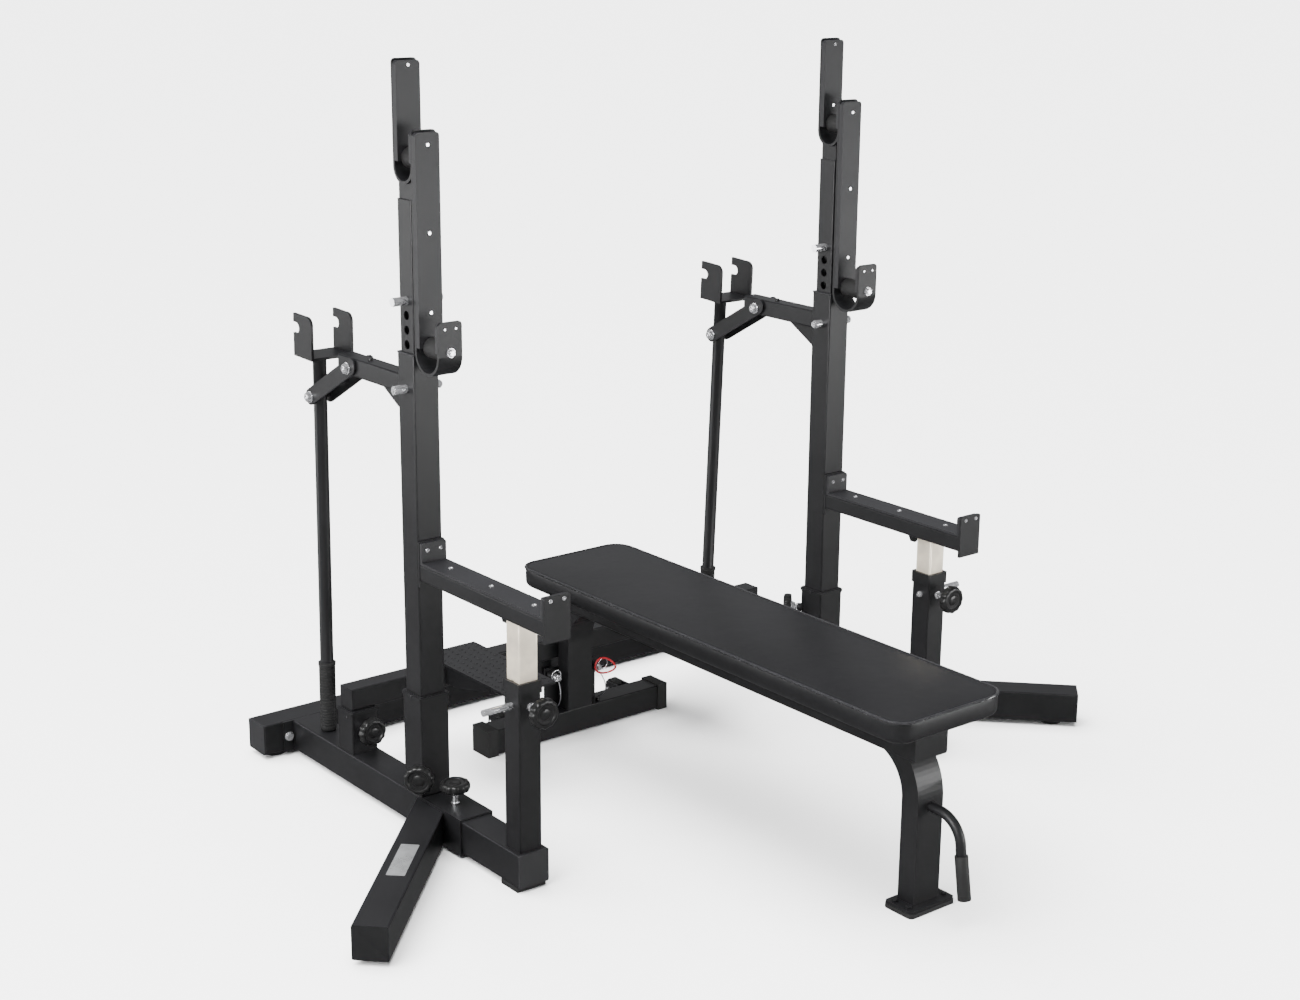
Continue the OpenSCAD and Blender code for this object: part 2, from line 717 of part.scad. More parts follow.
// Both bench legs, the steel foot plate and the transport handle
module bench_legs() color(black) {
    bent_leg(front_bend_x, 1, front_leg_t, front_rubber + front_plate);
    bent_leg(rear_bend_x, -1, rear_leg_t, foot_cap / 2 + foot_size / 2);
    translate([front_foot_x, 0, front_rubber]) linear_extrude(front_plate) difference() {
        rounded_rect(74, 122, 6);
        translate([front_bend_x + bend_inner + front_leg_t / 2 - front_foot_x, 0]) circle(r = 8);
    }
    rod_x(handle_r, front_bend_x + bend_inner + front_leg_t - 1, handle_x, 0, handle_z);
    translate([handle_x, 0, handle_z - handle_bend]) {
        rotate([90, 0, 0]) rotate_extrude(angle = 90) translate([handle_bend, 0]) circle(r = handle_r);
        translate([handle_bend, 0, 0]) rotate([0, -handle_tilt, 0]) {
            sphere(r = handle_r);
            translate([0, 0, -98]) cylinder(r = handle_r, h = 98);
        }
    }
}

// Rear foot tube with the wheel forks, the dock plate and the lanyard eyes
module bench_rear_foot() color(black) {
    z0 = (foot_cap - foot_size) / 2;
    plate = 6;
    tube_y(foot_size, foot_size, -foot_half, foot_half, foot_x, z0 + foot_size / 2);
    for (s = [-1, 1]) {
        for (o = [-1, 1]) translate([0, s * wheel_y + o * (wheel_w / 2 + 1 + plate / 2), 0])
            block([wheel_x - 12, -plate / 2, wheel_z - 12],
                  [foot_x - foot_size / 2, plate / 2, z0 + foot_size]);
        rod_y(4, s * wheel_y - wheel_w / 2 - plate - 5, s * wheel_y + wheel_w / 2 + plate + 5,
              wheel_x, wheel_z);
        translate([-235, s * 63, z0 + foot_size]) cylinder(r = 5, h = 8);
    }
    difference() {
        union() {
            block([dock_plate_x, -dock_pin_y - 14, z0 + foot_size],
                  [dock_plate_x + plate, dock_pin_y + 14, dock_pin_z + 16]);
            for (s = [-1, 1]) rod_x(10, dock_plate_x + plate - 1, -240, s * dock_pin_y, dock_pin_z);
        }
        for (s = [-1, 1])
            rod_x(dock_pin_r + 0.1, dock_plate_x - 1, -239, s * dock_pin_y, dock_pin_z);
    }
}

// Rubber end caps, the front foot's pad and the handle's grip
module bench_rubber_parts() color(rubber_black) {
    for (s = [-1, 1]) difference() {
        translate([foot_x, s * (foot_half + 4 - foot_cap_l / 2), foot_cap / 2])
            cube([foot_cap, foot_cap_l, foot_cap], center = true);
        translate([foot_x, s * (foot_half - 30), foot_cap / 2])
            cube([foot_size, 60, foot_size], center = true);
    }
    translate([front_foot_x, 0, 0]) linear_extrude(front_rubber) rounded_rect(78, 126, 10);
    translate([handle_x + handle_bend, 0, handle_z - handle_bend]) rotate([0, -handle_tilt, 0])
        difference() {
            translate([0, 0, -103]) cylinder(r = 13.5, h = 90);
            translate([0, 0, -98]) cylinder(r = handle_r, h = 98);
        }
}

module transport_wheel(s) color(rubber_black) difference() {
    rod_y(wheel_r, s * wheel_y - wheel_w / 2, s * wheel_y + wheel_w / 2, wheel_x, wheel_z);
    rod_y(4.05, s * wheel_y - wheel_w, s * wheel_y + wheel_w, wheel_x, wheel_z);
}

// Detent pin with its pull ring, pushed rearward into the platform's tab
module dock_pin(right) color(chrome) mirror([0, right ? 1 : 0, 0]) {
    rod_x(dock_pin_r, dock_tab_x - 8, -220, -dock_pin_y, dock_pin_z);
    rod_x(8, -238, -226, -dock_pin_y, dock_pin_z);
    translate([-221.5, -dock_pin_y - 9, dock_pin_z + 10]) rotate([0, 90, 0])
        rotate_extrude() translate([13, 0]) circle(r = 1.5, $fn = 16);
}

function unit(v) = v / norm(v);

function tangent(path, i) =
    unit(path[min(i + 1, len(path) - 1)] - path[max(i - 1, 0)]);

// Closed tube that follows a path with flat ends
module cord(path, d, sides = 8) {
    n = len(path);
    rings = [for (i = [0 : n - 1]) let (
            t = tangent(path, i), u = unit(cross(t, [1, 0, 0])), v = cross(t, u)
        ) for (k = [0 : sides - 1])
            path[i] + d / 2 * (cos(360 * k / sides) * u + sin(360 * k / sides) * v)];
    walls = [for (i = [0 : n - 2], k = [0 : sides - 1]) let (next = (k + 1) % sides)
        [i * sides + k, i * sides + next, (i + 1) * sides + next, (i + 1) * sides + k]];
    first = [for (k = [0 : sides - 1]) sides - 1 - k];
    last = [for (k = [0 : sides - 1]) (n - 1) * sides + k];
    polyhedron(rings, concat([first], walls, [last]));
}

// Three points between each pair of route points, on a smooth curve
function curve(p, i, t) = let (
        a = p[max(i - 1, 0)], b = p[i], c = p[i + 1], d = p[min(i + 2, len(p) - 1)]
    ) 0.5 * (2 * b + (c - a) * t + (2 * a - 5 * b + 4 * c - d) * pow(t, 2)
             + (3 * b - a - 3 * c + d) * pow(t, 3));

function smooth(p, steps = 3) = concat(
    [for (i = [0 : len(p) - 2], k = [0 : steps - 1]) curve(p, i, k / steps)], [p[len(p) - 1]]);

module pin_lanyards() color(steel_cable) {
    cord(smooth(left_lanyard), lanyard_d);
    cord(smooth(right_lanyard), lanyard_d);
}

rear_crossmember();
side_tubes();
tube_sockets();
front_posts();
upright(false);  // upright_left
upright(true);  // upright_right
jack_arms();
platform_beam();
spotter_footplates();
plastic_inserts();
rubber_feet();
frame_bolts();
outrigger(false);  // outrigger_left
outrigger(true);  // outrigger_right
height_tube(false);  // height_tube_left
height_tube(true);  // height_tube_right
hook_strap(false);  // hook_strap_left
hook_strap(true);  // hook_strap_right
hook_liners(false);  // hook_liners_left
hook_liners(true);  // hook_liners_right
hook_hardware(false);  // hook_hardware_left
hook_hardware(true);  // hook_hardware_right
squat_roller(false);  // squat_roller_left
squat_roller(true);  // squat_roller_right
bench_roller(false);  // bench_roller_left
bench_roller(true);  // bench_roller_right
locking_pin(false);  // locking_pin_left
locking_pin(true);  // locking_pin_right
jack_link(false);  // jack_link_left
jack_link(true);  // jack_link_right
jack_lever(false);  // jack_lever_left
jack_lever(true);  // jack_lever_right
safety_arm(false);  // safety_arm_left
safety_arm(true);  // safety_arm_right
safety_stem(false);  // safety_stem_left
safety_stem(true);  // safety_stem_right
safety_liners(false);  // safety_liners_left
safety_liners(true);  // safety_liners_right
post_pin(false);  // post_pin_left
post_pin(true);  // post_pin_right
upright_knob(false);  // upright_knob_left
upright_knob(true);  // upright_knob_right
inner_knob(false);  // inner_knob_left
inner_knob(true);  // inner_knob_right
platform_knob(false);  // platform_knob_left
platform_knob(true);  // platform_knob_right
outrigger_knob(false);  // outrigger_knob_left
outrigger_knob(true);  // outrigger_knob_right
post_knob(false);  // post_knob_left
post_knob(true);  // post_knob_right
bench_pad();
bench_spine();
bench_legs();
bench_rear_foot();
bench_rubber_parts();
transport_wheel(-1);  // transport_wheel_left
transport_wheel(1);  // transport_wheel_right
dock_pin(false);  // dock_pin_left
dock_pin(true);  // dock_pin_right
pin_lanyards();
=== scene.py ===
import json
import math
import bmesh
import bpy
from mathutils import Matrix, Vector
from mathutils.bvhtree import BVHTree


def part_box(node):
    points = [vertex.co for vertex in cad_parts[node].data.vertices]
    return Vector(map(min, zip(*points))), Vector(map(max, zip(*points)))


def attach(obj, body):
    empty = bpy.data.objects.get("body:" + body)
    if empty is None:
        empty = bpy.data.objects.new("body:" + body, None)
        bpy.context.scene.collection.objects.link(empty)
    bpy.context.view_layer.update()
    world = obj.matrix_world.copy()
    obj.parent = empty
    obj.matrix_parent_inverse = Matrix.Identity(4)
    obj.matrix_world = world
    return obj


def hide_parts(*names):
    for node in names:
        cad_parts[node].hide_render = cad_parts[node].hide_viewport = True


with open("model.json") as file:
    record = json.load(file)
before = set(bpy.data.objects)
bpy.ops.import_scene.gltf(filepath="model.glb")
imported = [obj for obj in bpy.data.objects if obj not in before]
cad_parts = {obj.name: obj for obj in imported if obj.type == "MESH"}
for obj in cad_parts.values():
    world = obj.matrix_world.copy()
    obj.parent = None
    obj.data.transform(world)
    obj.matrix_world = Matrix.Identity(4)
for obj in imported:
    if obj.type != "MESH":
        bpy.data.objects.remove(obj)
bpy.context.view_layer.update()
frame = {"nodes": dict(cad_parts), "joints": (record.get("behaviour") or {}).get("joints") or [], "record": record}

SIDES = (("left", -1), ("right", 1))
FRAME_BODY = "frame"
SHARP = math.radians(32)
JOINTS = {joint["name"]: joint for joint in frame["joints"]}


# Camera --------------------------------------------------------------

CAMERA_AT = (3.5426, -2.8002, 1.9277)
CAMERA_ANGLES = (51.352, 16.021, 0.469)
LENS = 58.06


def camera():
    """Stands where the camera fitted to the photograph stands; angles are azimuth, elevation and roll."""
    azimuth, elevation, roll = (math.radians(a) for a in CAMERA_ANGLES)
    back = Vector((math.sin(azimuth) * math.cos(elevation),
                   -math.cos(azimuth) * math.cos(elevation),
                   math.sin(elevation)))
    flat_right = Vector((math.cos(azimuth), math.sin(azimuth), 0))
    flat_up = back.cross(flat_right)
    right = flat_right * math.cos(roll) + flat_up * math.sin(roll)
    up = flat_up * math.cos(roll) - flat_right * math.sin(roll)
    data = bpy.data.cameras.new("camera")
    data.sensor_fit = "HORIZONTAL"
    data.sensor_width = 36
    data.lens = LENS
    data.clip_end = 100
    obj = bpy.data.objects.new("camera", data)
    bpy.context.scene.collection.objects.link(obj)
    turn = Matrix((right, up, back)).transposed().to_4x4()
    obj.matrix_world = Matrix.Translation(CAMERA_AT) @ turn
    bpy.context.scene.camera = obj


# Materials -----------------------------------------------------------

def noise(nodes, links, scale, detail=2.0):
    coords = nodes.new("ShaderNodeTexCoord")
    tex = nodes.new("ShaderNodeTexNoise")
    tex.inputs["Scale"].default_value = scale
    tex.inputs["Detail"].default_value = detail
    links.new(coords.outputs["Object"], tex.inputs["Vector"])
    return tex


def material(name, color, roughness, metallic=0.0, grain=600, bump=0.1, depth=0.0004,
             wear=0.1, wear_scale=9, coat=0.0, spread=0.15, gloss=0.5):
    """A surface with a fine grain bump, and broad patches that vary its roughness and tone."""
    mat = bpy.data.materials.new(name)
    mat.use_nodes = True
    nodes, links = mat.node_tree.nodes, mat.node_tree.links
    shader = nodes["Principled BSDF"]
    shader.inputs["Metallic"].default_value = metallic
    shader.inputs["Coat Weight"].default_value = coat
    shader.inputs["Coat Roughness"].default_value = 0.25
    shader.inputs["Specular IOR Level"].default_value = gloss
    patches = noise(nodes, links, wear_scale, 4)
    rough = nodes.new("ShaderNodeMapRange")
    rough.inputs["To Min"].default_value = roughness - wear
    rough.inputs["To Max"].default_value = roughness + wear
    links.new(patches.outputs["Fac"], rough.inputs["Value"])
    links.new(rough.outputs["Result"], shader.inputs["Roughness"])
    ramp = nodes.new("ShaderNodeValToRGB")
    low, high = ramp.color_ramp.elements
    low.position, high.position = 0.3, 0.7
    low.color = [c * (1 - spread) for c in color] + [1]
    high.color = [c * (1 + spread) for c in color] + [1]
    links.new(patches.outputs["Fac"], ramp.inputs["Fac"])
    links.new(ramp.outputs["Color"], shader.inputs["Base Color"])
    fine = noise(nodes, links, grain, 3)
    relief = nodes.new("ShaderNodeBump")
    relief.inputs["Strength"].default_value = bump
    relief.inputs["Distance"].default_value = depth
    links.new(fine.outputs["Fac"], relief.inputs["Height"])
    links.new(relief.outputs["Normal"], shader.inputs["Normal"])
    return mat


def vinyl_material():
    """Black vinyl with a fine pebbled grain from a Voronoi pattern."""
    mat = material("black_vinyl", (0.0045, 0.0045, 0.005), 0.42, wear=0.06, wear_scale=5, coat=0.1,
                   gloss=0.36)
    nodes, links = mat.node_tree.nodes, mat.node_tree.links
    relief = next(n for n in nodes if n.type == "BUMP")
    coords = nodes.new("ShaderNodeTexCoord")
    cells = nodes.new("ShaderNodeTexVoronoi")
    cells.feature = "DISTANCE_TO_EDGE"
    cells.inputs["Scale"].default_value = 420
    links.new(coords.outputs["Object"], cells.inputs["Vector"])
    links.new(cells.outputs["Distance"], relief.inputs["Height"])
    relief.inputs["Strength"].default_value = 0.25
    relief.inputs["Distance"].default_value = 0.0006
    waves = noise(nodes, links, 7, 3)
    broad = nodes.new("ShaderNodeBump")
    broad.inputs["Strength"].default_value = 0.5
    broad.inputs["Distance"].default_value = 0.004
    links.new(waves.outputs["Fac"], broad.inputs["Height"])
    links.new(broad.outputs["Normal"], relief.inputs["Normal"])
    return mat


def make_materials():
    return {
        "black_powder_coat": material("black_powder_coat", (0.0055, 0.0055, 0.006), 0.40, wear=0.05,
                                      grain=850, bump=0.22, depth=0.0003, gloss=0.36),
        "zinc_plate": material("zinc_plate", (0.90, 0.81, 0.66), 0.36, metallic=0.75, wear=0.03,
                               wear_scale=22, grain=240, bump=0.05),
        "black_plastic": material("black_plastic", (0.009, 0.009, 0.010), 0.5, wear=0.06,
                                  grain=1100, bump=0.3, depth=0.0002),
        "black_rubber": material("black_rubber", (0.008, 0.008, 0.008), 0.66, wear=0.08,
                                 grain=500, bump=0.25, gloss=0.4),
        "bright_steel": material("bright_steel", (0.82, 0.82, 0.84), 0.16, metallic=0.92, wear=0.05,
                                 wear_scale=30, grain=300, bump=0.02),
        "knob_plastic": material("knob_plastic", (0.005, 0.005, 0.005), 0.34, wear=0.05,
                                 grain=700, bump=0.12, coat=0.1, gloss=0.4),
        "black_vinyl": vinyl_material(),
        "welt_vinyl": material("welt_vinyl", (0.012, 0.012, 0.013), 0.26, wear=0.06,
                               wear_scale=60, grain=900, bump=0.2, coat=0.4),
        "steel_cable": material("steel_cable", (0.42, 0.42, 0.44), 0.35, metallic=1, wear=0.08,
                                wear_scale=200, grain=1500, bump=0.4),
        "red_plastic": material("red_plastic", (0.30, 0.004, 0.009), 0.35, wear=0.05, coat=0.2),
        "silver_film": material("silver_film", (0.66, 0.67, 0.68), 0.28, metallic=0.9, wear=0.05,
                                wear_scale=40, grain=200, bump=0.03),
    }


# Mesh helpers --------------------------------------------------------

def finish_mesh(name, bm, mat):
    bmesh.ops.recalc_face_normals(bm, faces=bm.faces)
    for face in bm.faces:
        face.smooth = True
    for edge in bm.edges:
        edge.smooth = len(edge.link_faces) != 2 or edge.calc_face_angle(0) < SHARP
    mesh = bpy.data.meshes.new(name)
    bm.to_mesh(mesh)
    bm.free()
    mesh.materials.append(mats[mat])
    obj = bpy.data.objects.new(name, mesh)
    bpy.context.scene.collection.objects.link(obj)
    return obj


def piece(name, bm, mat, body):
    """A mesh that rides on a body, with its material."""
    obj = finish_mesh(name, bm, mat)
    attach(obj, body)
    return obj


def along(axis):
    """Rotation that turns +Z to the axis."""
    return Vector((0, 0, 1)).rotation_difference(Vector(axis)).to_matrix().to_4x4()


def lathe(bm, profile, place, segments=32):
    """Adds a solid of revolution about +Z; profile is (radius, height) points, closed onto the axis."""
    rings = []
    for radius, height in profile:
        if radius < 1e-6:
            rings.append([bm.verts.new(place @ Vector((0, 0, height)))])
            continue
        rings.append([bm.verts.new(place @ Vector((radius * math.cos(a), radius * math.sin(a), height)))
                      for a in (2 * math.pi * k / segments for k in range(segments))])
    for a, b in zip(rings, rings[1:]):
        for k in range(segments):
            corners = [a[k % len(a)], a[(k + 1) % len(a)], b[(k + 1) % len(b)], b[k % len(b)]]
            corners = list(dict.fromkeys(corners))
            if len(corners) > 2:
                bm.faces.new(corners)


def ring_loft(bm, rings):
    """Joins closed rings of equal length, with a cap on each end."""
    rows = [[bm.verts.new(p) for p in ring] for ring in rings]
    n = len(rows[0])
    for a, b in zip(rows, rows[1:]):
        for k in range(n):
            bm.faces.new((a[k], a[(k + 1) % n], b[(k + 1) % n], b[k]))
    bm.faces.new(rows[0][::-1])
    bm.faces.new(rows[-1])


def tube_along(bm, path, radius, sides=10, closed=False):
    """Sweeps a round tube along a path of points."""
    points = [Vector(p) for p in path]
    n = len(points)
    side = None
    rows = []
    for i, p in enumerate(points):
        ahead = points[(i + 1) % n] if closed or i < n - 1 else p
        behind = points[i - 1] if closed or i > 0 else p
        tangent = (ahead - behind).normalized()
        if side is None:
            side = tangent.orthogonal().normalized()
        side = (side - tangent * side.dot(tangent)).normalized()
        other = tangent.cross(side)
        rows.append([bm.verts.new(p + radius * (math.cos(a) * side + math.sin(a) * other))
                     for a in (2 * math.pi * k / sides for k in range(sides))])
    pairs = list(zip(rows, rows[1:] + rows[:1])) if closed else list(zip(rows, rows[1:]))
    for a, b in pairs:
        shift = 0
        if closed and b is rows[0]:
            shift = min(range(sides), key=lambda s: (a[0].co - b[s].co).length)
        for k in range(sides):
            bm.faces.new((a[k], a[(k + 1) % sides],
                          b[(k + 1 + shift) % sides], b[(k + shift) % sides]))
    if not closed:
        bm.faces.new(rows[0][::-1])
        bm.faces.new(rows[-1])


def screw(bm, centre, axis, radius=0.0045, height=0.0022):
    """Low domed screw head with a recessed hexagon."""
    place = Matrix.Translation(centre) @ along(axis)
    lathe(bm, [(0, 0), (radius, 0), (radius, height * 0.5), (radius * 0.8, height),
               (radius * 0.5, height), (radius * 0.42, height * 0.45), (0, height * 0.4)], place, 18)


def hexagon(bm, centre, axis, radius, height):
    """Hexagonal bolt head with a chamfered crown."""
    place = Matrix.Translation(centre) @ along(axis)
    lathe(bm, [(0, 0), (radius, 0), (radius, height * 0.8), (radius * 0.84, height), (0, height)],
          place, 6)


def button_bolt(bm, centre, axis, radius, height):
    """Washer under a domed bolt head with a deep round socket."""
    place = Matrix.Translation(centre) @ along(axis)
    lathe(bm, [(0, 0), (radius * 1.2, 0), (radius * 1.2, 0.0016), (radius, 0.0018),
               (radius, height * 0.55), (radius * 0.88, height * 0.85), (radius * 0.62, height),
               (radius * 0.46, height), (radius * 0.42, height - 0.0022), (0, height - 0.0022)],
          place, 32)


# CAD nodes that stay -------------------------------------------------

def dress_nodes(replaced):
    slots = {part["node"]: part["material_slot"] for part in frame["record"]["subparts"]}
    for name, obj in frame["nodes"].items():
        if name in replaced:
            continue
        for one in obj.material_slots:
            one.material = mats[slots[name]]
        weld = obj.modifiers.new("weld", "WELD")
        weld.merge_threshold = 0.00002
        edge = obj.modifiers.new("edge", "BEVEL")
        edge.width = 0.0007
        edge.segments = 2
        edge.limit_method = "ANGLE"
        edge.angle_limit = math.radians(40)
        edge.harden_normals = True


# Lanyards ------------------------------------------------------------

LANYARD_D = 0.0025
LANYARD = [(-0.224, 0.060, 0.141), (-0.216, 0.062, 0.132), (-0.210, 0.065, 0.120),
           (-0.208, 0.067, 0.107), (-0.211, 0.068, 0.095), (-0.217, 0.067, 0.086),
           (-0.225, 0.065, 0.079), (-0.234, 0.063, 0.073)]


def smooth_path(points, steps=3):
    """Catmull-Rom curve through the points."""
    p = [Vector(q) for q in points]
    out = []
    for i in range(len(p) - 1):
        a, b, c, d = p[max(i - 1, 0)], p[i], p[i + 1], p[min(i + 2, len(p) - 1)]
        for k in range(steps):
            t = k / steps
            out.append(0.5 * (2 * b + (c - a) * t + (2 * a - 5 * b + 4 * c - d) * t * t
                              + (3 * b - a - 3 * c + d) * t ** 3))
    return out + [p[-1]]


def lanyards():
    for name, side in SIDES:
        path = smooth_path([(x, side * y, z) for x, y, z in LANYARD])
        bm = bmesh.new()
        tube_along(bm, path, LANYARD_D / 2, 8)
        obj = piece(f"lanyard_{name}", bm, "steel_cable", FRAME_BODY)
        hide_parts("pin_lanyards")


# Pad -----------------------------------------------------------------

def rounded_outline(x0, x1, half, radius, z, per_corner=8, spacing=0.02):
    """Points round a rectangle with rounded corners, evenly spaced along its sides."""
    corners = [(x1 - radius, half - radius, 0), (x0 + radius, half - radius, 90),
               (x0 + radius, -half + radius, 180), (x1 - radius, -half + radius, 270)]
    arcs = [[Vector((cx + radius * math.cos(math.radians(start + 90 * k / per_corner)),
                     cy + radius * math.sin(math.radians(start + 90 * k / per_corner)), z))
             for k in range(per_corner + 1)] for cx, cy, start in corners]
    out = []
    for arc, following in zip(arcs, arcs[1:] + arcs[:1]):
        out += arc
        run = following[0] - arc[-1]
        count = max(1, round(run.length / spacing))
        out += [arc[-1] + run * k / count for k in range(1, count)]
    return out


def pad():
    """Vinyl cover: a flat base, a nearly flat side band, and a crowned top panel sewn at its edge."""
    low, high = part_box("bench_pad")
    shrink, corner, lower_edge = 0.004, 0.044, 0.010
    crown_room, panel_margin, stitch_margin = 0.0045, 0.008, 0.0060
    bottom, seam = low[2], high[2] - crown_room

    def inset(extra):
        return (low[0] + shrink + extra, high[0] - shrink - extra,
                high[1] - shrink - extra, corner - extra)

    levels = [(bottom + lower_edge * (1 - math.cos(a)), lower_edge * (1 - math.sin(a)))
              for a in (math.radians(d) for d in (0, 30, 60, 90))]
    levels += [(seam - 0.003, 0.0), (seam - 0.001, 0.0008), (seam, 0.0028)]
    bm = bmesh.new()
    ring_loft(bm, [rounded_outline(*inset(extra), z) for z, extra in levels])
    obj = finish_mesh("bench_pad_cover", bm, "black_vinyl")
    inflate(obj, bottom, seam, inset(panel_margin))
    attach(obj, FRAME_BODY)
    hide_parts("bench_pad")
    welt_radius, welt_inset, welt_drop = 0.0031, 0.0006, 0.0016
    welt = bmesh.new()
    tube_along(welt, rounded_outline(*inset(welt_inset), seam - welt_drop, 10, 0.012),
               welt_radius, 10, closed=True)
    piece("pad_welt", welt, "welt_vinyl", FRAME_BODY)
    stitches(obj, inset(stitch_margin))
    base_cloth(low, high, corner)


def apply_modifiers(obj):
    """Replaces the mesh with its modified shape, and leaves no modifier on the piece."""
    graph = bpy.context.evaluated_depsgraph_get()
    graph.update()
    mesh = bpy.data.meshes.new_from_object(obj.evaluated_get(graph))
    obj.modifiers.clear()
    old, obj.data = obj.data, mesh
    bpy.data.meshes.remove(old)


def inside(x, y, x0, x1, half, radius):
    """Whether a point lies within a rectangle with rounded corners."""
    dx = max(x0 + radius - x, x - x1 + radius, 0)
    dy = max(abs(y) - half + radius, 0)
    return x0 < x < x1 and abs(y) < half and math.hypot(dx, dy) < radius


def inflate(obj, bottom, seam, panel):
    """Blows the closed cover up between its flat base and its sewn top edge, then caps the swelling."""
    cap, side_cap, held_rim, frames = 0.0095, 0.0016, 0.006, 20
    remesh = obj.modifiers.new("voxels", "REMESH")
    remesh.mode = "VOXEL"
    remesh.voxel_size = 0.0055
    remesh.use_smooth_shade = True
    apply_modifiers(obj)
    start = [v.co.copy() for v in obj.data.vertices]
    held = obj.vertex_groups.new(name="held")
    held.add([v.index for v in obj.data.vertices
              if v.co.z < bottom + held_rim
              or v.co.z > seam - held_rim and not inside(v.co.x, v.co.y, *panel)], 1.0, "REPLACE")
    cloth = obj.modifiers.new("cloth", "CLOTH")
    settings = cloth.settings
    settings.quality = 5
    settings.mass = 0.4
    settings.tension_stiffness = settings.compression_stiffness = 25
    settings.shear_stiffness = 12
    settings.bending_stiffness = 2.0
    settings.use_pressure = True
    settings.uniform_pressure_force = 6
    settings.vertex_group_mass = "held"
    settings.effector_weights.gravity = 0
    cloth.collision_settings.use_collision = False
    scene = bpy.context.scene
    for number in range(1, frames + 1):
        scene.frame_set(number)
    apply_modifiers(obj)
    for vert, was in zip(obj.data.vertices, start):
        move = vert.co - was
        sideways = Vector((move.x, move.y, 0))
        if sideways.length > side_cap:
            move -= sideways * (1 - side_cap / sideways.length)
        move.z = max(-cap, min(cap, move.z))
        vert.co = was + move
    scene.frame_set(1)
    smooth = obj.modifiers.new("smooth", "SUBSURF")
    smooth.levels = smooth.render_levels = 1
    apply_modifiers(obj)
    for face in obj.data.polygons:
        face.use_smooth = True
    obj.vertex_groups.clear()


def stitches(cover, outline):
    """Row of thread stitches along the top panel, just inside the welt."""
    tree = BVHTree.FromObject(cover, bpy.context.evaluated_depsgraph_get())
    path = rounded_outline(*outline, 0, 9, 0.0058)
    bm = bmesh.new()
    up = Vector((0, 0, 1))
    half_length, half_width, half_height = 0.0016, 0.0005, 0.0007
    for a, b in zip(path, path[1:] + path[:1]):
        middle = (a + b) / 2
        hit = tree.ray_cast(Vector((middle.x, middle.y, 1)), Vector((0, 0, -1)))[0]
        if hit:
            way = (b - a).normalized()
            side = way.cross(up)
            rings = [[hit + way * x + side * y * half_width + up * z * half_height
                      for y, z in ((-1, -1), (1, -1), (1, 0.4), (0, 0.9), (-1, 0.4))]
                     for x in (-half_length, half_length)]
            ring_loft(bm, rings)
    piece("pad_stitches", bm, "black_plastic", FRAME_BODY)


def base_cloth(low, high, corner):
    """Black cloth on the pad's underside, inside the cover's edge."""
    inset, thick = 0.016, 0.0022
    bm = bmesh.new()
    ring_loft(bm, [rounded_outline(low[0] + inset, high[0] - inset, high[1] - inset, corner - inset, z)
                   for z in (low[2] - thick, low[2] + 0.001)])
    piece("pad_base_cloth", bm, "black_plastic", FRAME_BODY)


# Knobs ---------------------------------------------------------------

CORNER_BOSS = 0.058
CORNER_NECK = 0.014


def star_outline(radius, lobes, depth, count=96):
    """Radius at each step round a star with soft lobes."""
    return [radius - depth * (0.5 - 0.5 * math.cos(lobes * 2 * math.pi * k / count)) ** 1.4
            for k in range(count)]


def knob(name, base, axis, neck):
    """Star knob: lobed head with a raised rim round a dished face, on a bright collar and shank."""
    place = Matrix.Translation(base) @ along(axis)
    radius, depth, thick, lobes = 0.0322, 0.0022, 0.0195, 12
    outline = star_outline(radius, lobes, depth)
    steps = [(0.70, 0.0), (0.93, 0.0006), (0.985, 0.003), (1.0, 0.006), (1.0, thick - 0.007),
             (0.985, thick - 0.004), (0.93, thick - 0.0014), (0.84, thick), (0.74, thick),
             (0.70, thick - 0.0012), (0.66, thick - 0.0030), (0.42, thick - 0.0034),
             (0.38, thick - 0.0022), (0.34, thick - 0.0014), (0.12, thick - 0.0010)]
    bm = bmesh.new()
    rings = []
    for scale, height in steps:
        flat = max(0.0, (scale - 0.66) / 0.34)
        size = [scale * (r * flat + radius * 0.97 * (1 - flat)) for r in outline]
        turns = [2 * math.pi * k / len(outline) for k in range(len(outline))]
        rings.append([place @ Vector((r * math.cos(a), r * math.sin(a), neck + height))
                      for r, a in zip(size, turns)])
    ring_loft(bm, rings)
    head = piece(f"{name}_head", bm, "knob_plastic", name)
    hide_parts(name)
    bm = bmesh.new()
    lathe(bm, [(0, -0.0012), (0.0049, -0.0012), (0.0049, 0.0010), (0.0092, 0.0010), (0.0092, 0.0030),
               (0.0062, 0.0034), (0.0062, neck - 0.010), (0.0105, neck - 0.009),
               (0.0140, neck - 0.001), (0.0140, neck + 0.001), (0, neck + 0.001)], place, 32)
    piece(f"{name}_shank", bm, "bright_steel", name)


